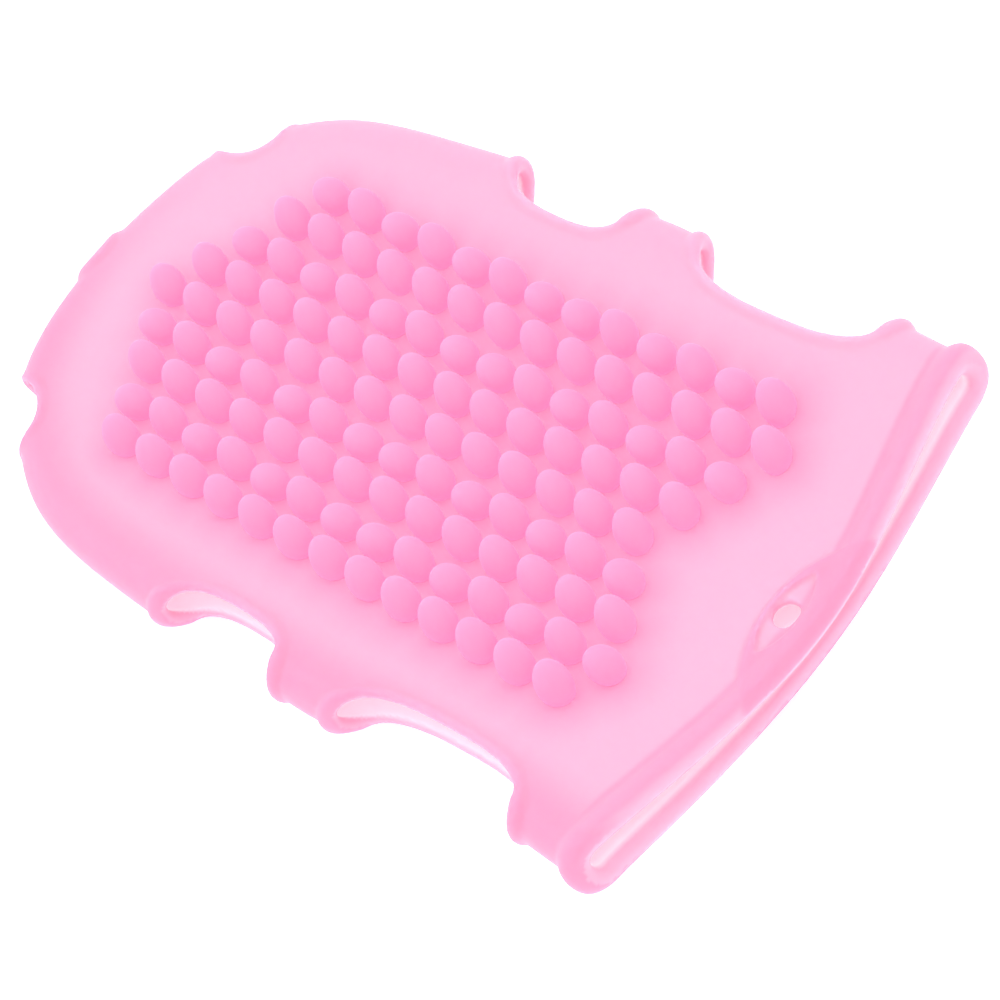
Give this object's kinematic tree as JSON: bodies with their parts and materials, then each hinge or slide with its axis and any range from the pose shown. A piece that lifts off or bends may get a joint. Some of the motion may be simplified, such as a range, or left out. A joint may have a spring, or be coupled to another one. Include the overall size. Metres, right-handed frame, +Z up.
{
  "type": "silicone grooming mitt",
  "caption": "Flat moulded mitt with a field of rounded nubs on the palm, openings round its edge, a beaded mouth and a hang tab.",
  "frame": {"origin": "under the middle of the mitt, on the surface it lies on", "axes": "+Y towards the fingertips, +X across the hand, +Z up out of the nubs"},
  "size_m": [0.1098, 0.1725, 0.0216],
  "materials": {
    "sheet_silicone": "matte translucent",
    "bead_silicone": "matte translucent",
    "nub_silicone": "matte translucent"
  },
  "bodies": {
    "sleeve": {"palm_panel": "sheet_silicone", "back_panel": "sheet_silicone", "cuff_bead": "bead_silicone", "hang_tab": "bead_silicone", "fingertip_vent_lip": "bead_silicone", "fingertip_wall_right": "sheet_silicone", "fingertip_wall_left": "sheet_silicone", "finger_side_wall_right": "sheet_silicone", "finger_side_wall_left": "sheet_silicone", "middle_side_wall_right": "sheet_silicone", "middle_side_wall_left": "sheet_silicone", "cuff_side_wall_right": "sheet_silicone", "cuff_side_wall_left": "sheet_silicone", "shoulder_opening_lip_right": "bead_silicone", "shoulder_opening_lip_left": "bead_silicone", "front_opening_lip_right": "bead_silicone", "front_opening_lip_left": "bead_silicone", "rear_opening_lip_right": "bead_silicone", "rear_opening_lip_left": "bead_silicone"},
    "nub_column_left_4": {"nub_column_left_4": "nub_silicone"},
    "nub_column_left_3": {"nub_column_left_3": "nub_silicone"},
    "nub_column_left_2": {"nub_column_left_2": "nub_silicone"},
    "nub_column_left_1": {"nub_column_left_1": "nub_silicone"},
    "nub_column_middle": {"nub_column_middle": "nub_silicone"},
    "nub_column_right_1": {"nub_column_right_1": "nub_silicone"},
    "nub_column_right_2": {"nub_column_right_2": "nub_silicone"},
    "nub_column_right_3": {"nub_column_right_3": "nub_silicone"},
    "nub_column_right_4": {"nub_column_right_4": "nub_silicone"}
  },
  "joints": [
    {"name": "lean_left_4", "type": "hinge", "parent": "sleeve", "child": "nub_column_left_4", "pos_m": [-0.02979, 0, 0.01234], "axis": [0, 1, 0], "range_deg": [-12, 12], "stiffness_Nm_per_rad": 0.0012},
    {"name": "lean_left_3", "type": "hinge", "parent": "sleeve", "child": "nub_column_left_3", "pos_m": [-0.02234, 0, 0.01111], "axis": [0, 1, 0], "range_deg": [-12, 12], "stiffness_Nm_per_rad": 0.0012},
    {"name": "lean_left_2", "type": "hinge", "parent": "sleeve", "child": "nub_column_left_2", "pos_m": [-0.0149, 0, 0.01029], "axis": [0, 1, 0], "range_deg": [-12, 12], "stiffness_Nm_per_rad": 0.0012},
    {"name": "lean_left_1", "type": "hinge", "parent": "sleeve", "child": "nub_column_left_1", "pos_m": [-0.00745, 0, 0.00989], "axis": [0, 1, 0], "range_deg": [-12, 12], "stiffness_Nm_per_rad": 0.0012},
    {"name": "lean_middle", "type": "hinge", "parent": "sleeve", "child": "nub_column_middle", "pos_m": [0, 0, 0.00989], "axis": [0, 1, 0], "range_deg": [-12, 12], "stiffness_Nm_per_rad": 0.0012},
    {"name": "lean_right_1", "type": "hinge", "parent": "sleeve", "child": "nub_column_right_1", "pos_m": [0.00745, 0, 0.00989], "axis": [0, 1, 0], "range_deg": [-12, 12], "stiffness_Nm_per_rad": 0.0012},
    {"name": "lean_right_2", "type": "hinge", "parent": "sleeve", "child": "nub_column_right_2", "pos_m": [0.0149, 0, 0.01029], "axis": [0, 1, 0], "range_deg": [-12, 12], "stiffness_Nm_per_rad": 0.0012},
    {"name": "lean_right_3", "type": "hinge", "parent": "sleeve", "child": "nub_column_right_3", "pos_m": [0.02234, 0, 0.01111], "axis": [0, 1, 0], "range_deg": [-12, 12], "stiffness_Nm_per_rad": 0.0012},
    {"name": "lean_right_4", "type": "hinge", "parent": "sleeve", "child": "nub_column_right_4", "pos_m": [0.02979, 0, 0.01234], "axis": [0, 1, 0], "range_deg": [-12, 12], "stiffness_Nm_per_rad": 0.0012}
  ]
}
